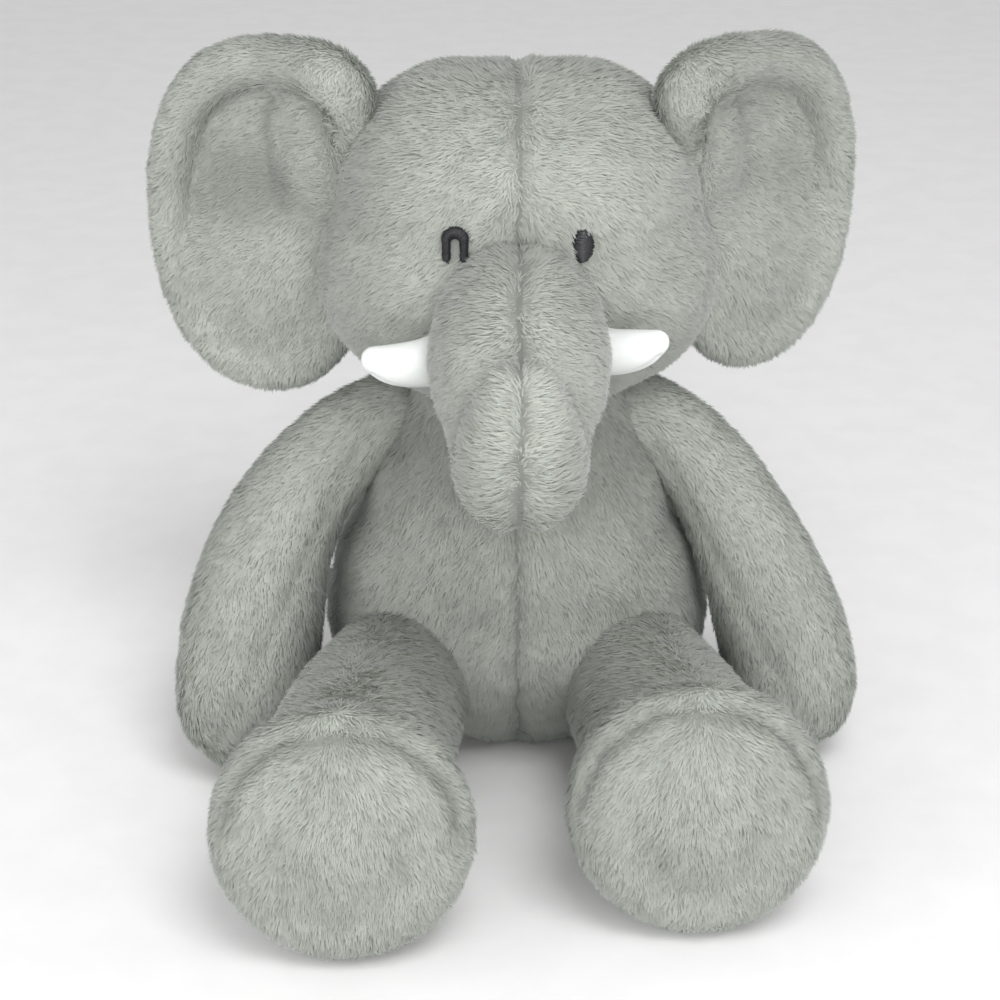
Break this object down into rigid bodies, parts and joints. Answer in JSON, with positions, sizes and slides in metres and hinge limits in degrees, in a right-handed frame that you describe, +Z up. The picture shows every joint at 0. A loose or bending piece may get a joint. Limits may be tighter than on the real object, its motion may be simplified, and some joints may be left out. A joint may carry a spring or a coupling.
{
  "type": "stuffed elephant",
  "caption": "Seated plush elephant with short grey-green pile, big padded ears, a curled trunk, white cloth tusks, stitched eyes and round soles",
  "frame": {"origin": "centre of the flat seat, on the surface that the toy sits on", "axes": "+Z up, the toy looks along -Y, +X is the toy's own left side"},
  "size_m": [0.2814, 0.3062, 0.2705],
  "materials": {
    "plush": "matte",
    "tusk_cloth": "satin",
    "eye_thread": "satin",
    "stuffing_fibre": "matte",
    "bead_pouch_cloth": "matte",
    "label_ribbon": "satin"
  },
  "bodies": {
    "torso": {"back_left_panel": "plush", "back_right_panel": "plush", "belly_left_panel": "plush", "belly_right_panel": "plush", "body_stuffing": "stuffing_fibre", "care_label": "label_ribbon", "seat_bead_pouch": "bead_pouch_cloth", "seat_panel": "plush"},
    "head": {"eye_left": "eye_thread", "eye_right": "eye_thread", "face_left_panel": "plush", "face_right_panel": "plush", "head_stuffing": "stuffing_fibre", "nape_left_panel": "plush", "nape_right_panel": "plush", "trunk_root_left_panel": "plush", "trunk_root_right_panel": "plush", "trunk_root_stuffing": "stuffing_fibre", "tusk_left_cover": "tusk_cloth", "tusk_left_filling": "stuffing_fibre", "tusk_right_cover": "tusk_cloth", "tusk_right_filling": "stuffing_fibre"},
    "trunk": {"trunk_tip_left_panel": "plush", "trunk_tip_right_panel": "plush", "trunk_tip_stuffing": "stuffing_fibre"},
    "ear_left": {"ear_left_back_panel": "plush", "ear_left_front_panel": "plush", "ear_left_padding": "stuffing_fibre"},
    "ear_right": {"ear_right_back_panel": "plush", "ear_right_front_panel": "plush", "ear_right_padding": "stuffing_fibre"},
    "arm_left": {"arm_left_inner_panel": "plush", "arm_left_outer_panel": "plush", "arm_left_stuffing": "stuffing_fibre"},
    "arm_right": {"arm_right_inner_panel": "plush", "arm_right_outer_panel": "plush", "arm_right_stuffing": "stuffing_fibre"},
    "leg_left": {"leg_left_inner_panel": "plush", "leg_left_outer_panel": "plush", "leg_left_sole": "plush", "leg_left_stuffing": "stuffing_fibre"},
    "leg_right": {"leg_right_inner_panel": "plush", "leg_right_outer_panel": "plush", "leg_right_sole": "plush", "leg_right_stuffing": "stuffing_fibre"},
    "tail": {"tail_cover": "plush", "tail_stuffing": "stuffing_fibre", "tail_tuft": "plush"}
  },
  "joints": [
    {"name": "head_nod", "type": "hinge", "parent": "torso", "child": "head", "pos_m": [0, 0, 0.118], "axis": [1, 0, 0], "range_deg": [-10, 10], "stiffness_Nm_per_rad": 1.6},
    {"name": "trunk_curl", "type": "hinge", "parent": "head", "child": "trunk", "pos_m": [0, -0.095, 0.17], "axis": [-1, 0, 0], "range_deg": [-10, 30], "stiffness_Nm_per_rad": 0.15},
    {"name": "ear_left_flap", "type": "hinge", "parent": "head", "child": "ear_left", "pos_m": [0.069, 0.009, 0.2], "axis": [0, 0, -1], "range_deg": [-20, 15], "stiffness_Nm_per_rad": 0.08},
    {"name": "ear_right_flap", "type": "hinge", "parent": "head", "child": "ear_right", "pos_m": [-0.069, 0.009, 0.2], "axis": [0, 0, 1], "range_deg": [-20, 15], "stiffness_Nm_per_rad": 0.08},
    {"name": "arm_left_raise", "type": "hinge", "parent": "torso", "child": "arm_left", "pos_m": [0.056, -0.003, 0.127], "axis": [-0.7071, -0.7071, 0], "range_deg": [0, 45], "stiffness_Nm_per_rad": 0.25},
    {"name": "arm_right_raise", "type": "hinge", "parent": "torso", "child": "arm_right", "pos_m": [-0.056, -0.003, 0.127], "axis": [-0.7071, 0.7071, 0], "range_deg": [0, 45], "stiffness_Nm_per_rad": 0.25},
    {"name": "leg_left_lift", "type": "hinge", "parent": "torso", "child": "leg_left", "pos_m": [0.054, -0.061, 0.034], "axis": [-1, 0, 0], "range_deg": [-45, 8], "stiffness_Nm_per_rad": 0.4},
    {"name": "leg_right_lift", "type": "hinge", "parent": "torso", "child": "leg_right", "pos_m": [-0.054, -0.061, 0.034], "axis": [-1, 0, 0], "range_deg": [-45, 8], "stiffness_Nm_per_rad": 0.4},
    {"name": "tail_lift", "type": "hinge", "parent": "torso", "child": "tail", "pos_m": [0, 0.076, 0.042], "axis": [1, 0, 0], "range_deg": [-10, 50], "stiffness_Nm_per_rad": 0.02}
  ]
}
